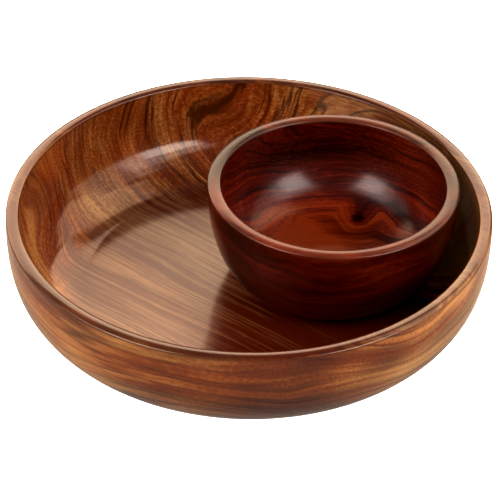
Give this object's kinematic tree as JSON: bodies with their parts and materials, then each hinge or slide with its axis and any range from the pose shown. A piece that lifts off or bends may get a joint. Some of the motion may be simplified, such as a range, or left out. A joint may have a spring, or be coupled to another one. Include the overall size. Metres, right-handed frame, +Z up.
{
  "type": "chip and dip server",
  "caption": "Wide round turned-wood serving bowl for chips, with a smaller turned-wood dip bowl standing loose on its floor, off to one side.",
  "frame": {"origin": "middle of the serving bowl's foot, level with the table it stands on", "axes": "+Z up along the serving bowl's axis, +X from that axis towards the dip bowl"},
  "size_m": [0.3056, 0.3056, 0.0815],
  "materials": {
    "serving_wood": "lacquered, semi-gloss, golden to red brown with dark streaks",
    "dip_wood": "lacquered, semi-gloss, dark red brown"
  },
  "bodies": {
    "serving_bowl": {"serving_bowl": "serving_wood"},
    "dip_bowl": {"dip_bowl": "dip_wood"}
  },
  "joints": [
    {"name": "dip_bowl_lift", "type": "slide", "parent": "serving_bowl", "child": "dip_bowl", "axis": [0, 0, 1], "range_m": [0, 0.1]}
  ]
}
